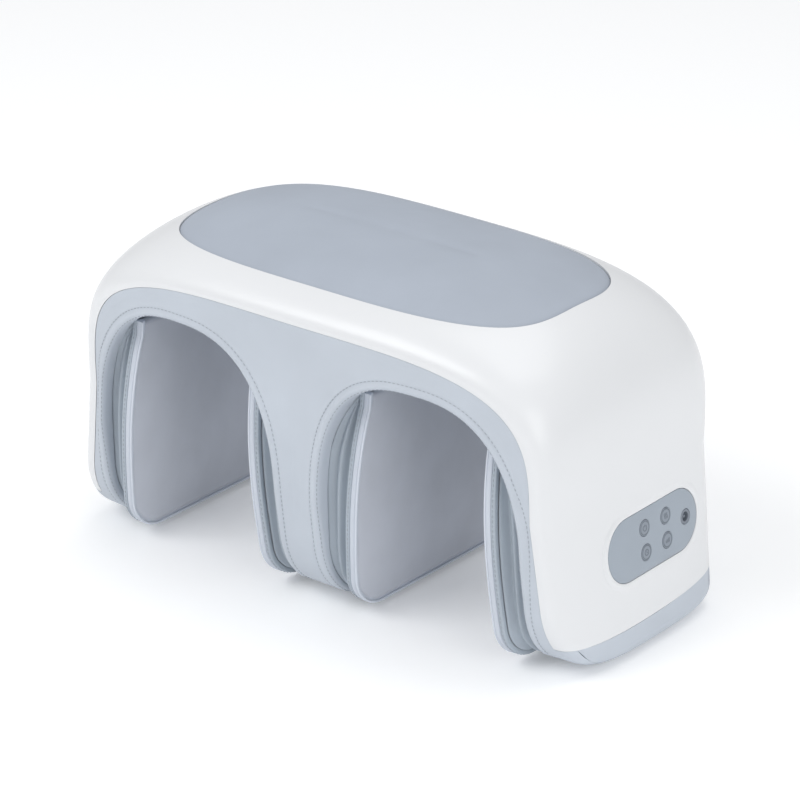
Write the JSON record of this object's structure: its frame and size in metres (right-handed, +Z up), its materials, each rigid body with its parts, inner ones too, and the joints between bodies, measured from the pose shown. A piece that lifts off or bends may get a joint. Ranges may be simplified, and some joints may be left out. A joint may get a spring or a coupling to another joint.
{
  "type": "leg massager",
  "caption": "Free-standing airbag leg massager: a moulded white shell bridges two arched leg tunnels lined with padded air panels, with a soft top and a side control panel.",
  "frame": {"origin": "on the floor, under the middle of the body", "axes": "+X to the side with the control panel, -Y to the front, +Z up"},
  "size_m": [0.4202, 0.202, 0.2357],
  "materials": {
    "shell_white": "gloss",
    "fascia_leather": "satin",
    "cushion_leather": "matte",
    "liner_leather": "matte",
    "pad_velvet": "matte",
    "gusset_fabric": "matte",
    "airbag_film": "matte",
    "panel_grey": "satin",
    "key_grey": "satin",
    "socket_dark": "satin",
    "frame_plastic": "matte",
    "foot_rubber": "matte",
    "screw_steel": "brushed",
    "pump_steel": "satin",
    "board_green": "satin",
    "hose_clear": "satin",
    "cell_blue": "satin",
    "block_dark": "matte"
  },
  "bodies": {
    "root": {"air_pump": "pump_steel", "base_screw_1": "screw_steel", "base_screw_2": "screw_steel", "base_screw_3": "screw_steel", "base_screw_4": "screw_steel", "base_screw_5": "screw_steel", "base_screw_6": "screw_steel", "battery_pack": "cell_blue", "battery_strap": "block_dark", "centre_foot_pad": "foot_rubber", "centre_leg_base": "fascia_leather", "charging_socket": "socket_dark", "chassis": "frame_plastic", "control_overlay": "panel_grey", "front_fascia": "fascia_leather", "key_board": "board_green", "key_board_screw_1": "screw_steel", "key_board_screw_2": "screw_steel", "left_foot_pad": "foot_rubber", "left_inner_airbag": "airbag_film", "left_inner_gusset": "gusset_fabric", "left_inner_hose": "hose_clear", "left_leg_base": "fascia_leather", "left_outer_airbag": "airbag_film", "left_outer_gusset": "gusset_fabric", "left_outer_hose": "hose_clear", "left_tunnel_liner": "liner_leather", "main_board": "board_green", "outer_shell": "shell_white", "pump_cradle": "foot_rubber", "rear_fascia": "fascia_leather", "right_foot_pad": "foot_rubber", "right_inner_airbag": "airbag_film", "right_inner_gusset": "gusset_fabric", "right_inner_hose": "hose_clear", "right_leg_base": "fascia_leather", "right_outer_airbag": "airbag_film", "right_outer_gusset": "gusset_fabric", "right_outer_hose": "hose_clear", "right_tunnel_liner": "liner_leather", "shell_screw_1": "screw_steel", "shell_screw_2": "screw_steel", "shell_screw_3": "screw_steel", "shell_screw_4": "screw_steel", "solenoid_valves": "pump_steel", "supply_hose": "hose_clear", "top_cushion": "cushion_leather", "valve_block": "block_dark"},
    "left_outer_panel": {"left_outer_pad": "pad_velvet"},
    "left_inner_panel": {"left_inner_pad": "pad_velvet"},
    "right_inner_panel": {"right_inner_pad": "pad_velvet"},
    "right_outer_panel": {"right_outer_pad": "pad_velvet"},
    "power_button": {"power_key": "key_grey"},
    "mode_button": {"mode_key": "key_grey"},
    "heat_button": {"heat_key": "key_grey"},
    "level_button": {"level_key": "key_grey"}
  },
  "joints": [
    {"name": "left_outer_panel_hinge", "type": "hinge", "parent": "root", "child": "left_outer_panel", "pos_m": [-0.14686, 0, 0.15596], "axis": [0, -1, 0], "range_deg": [-3, 12], "stiffness_Nm_per_rad": 1.5, "deforming": ["left_outer_gusset", "left_outer_airbag"]},
    {"name": "left_inner_panel_hinge", "type": "hinge", "parent": "root", "child": "left_inner_panel", "pos_m": [-0.04514, 0, 0.15596], "axis": [0, 1, 0], "range_deg": [-3, 12], "stiffness_Nm_per_rad": 1.5, "deforming": ["left_inner_gusset", "left_inner_airbag"]},
    {"name": "right_inner_panel_hinge", "type": "hinge", "parent": "root", "child": "right_inner_panel", "pos_m": [0.04514, 0, 0.15596], "axis": [0, -1, 0], "range_deg": [-3, 12], "stiffness_Nm_per_rad": 1.5, "deforming": ["right_inner_gusset", "right_inner_airbag"]},
    {"name": "right_outer_panel_hinge", "type": "hinge", "parent": "root", "child": "right_outer_panel", "pos_m": [0.14686, 0, 0.15596], "axis": [0, 1, 0], "range_deg": [-3, 12], "stiffness_Nm_per_rad": 1.5, "deforming": ["right_outer_gusset", "right_outer_airbag"]},
    {"name": "power_press", "type": "slide", "parent": "root", "child": "power_button", "axis": [-0.9927, -0.0183, -0.1191], "range_m": [0, 0.0005], "stiffness_N_per_m": 400},
    {"name": "mode_press", "type": "slide", "parent": "root", "child": "mode_button", "axis": [-0.9927, -0.0183, -0.1191], "range_m": [0, 0.0005], "stiffness_N_per_m": 400},
    {"name": "heat_press", "type": "slide", "parent": "root", "child": "heat_button", "axis": [-0.9927, -0.0183, -0.1191], "range_m": [0, 0.0005], "stiffness_N_per_m": 400},
    {"name": "level_press", "type": "slide", "parent": "root", "child": "level_button", "axis": [-0.9927, -0.0183, -0.1191], "range_m": [0, 0.0005], "stiffness_N_per_m": 400}
  ]
}
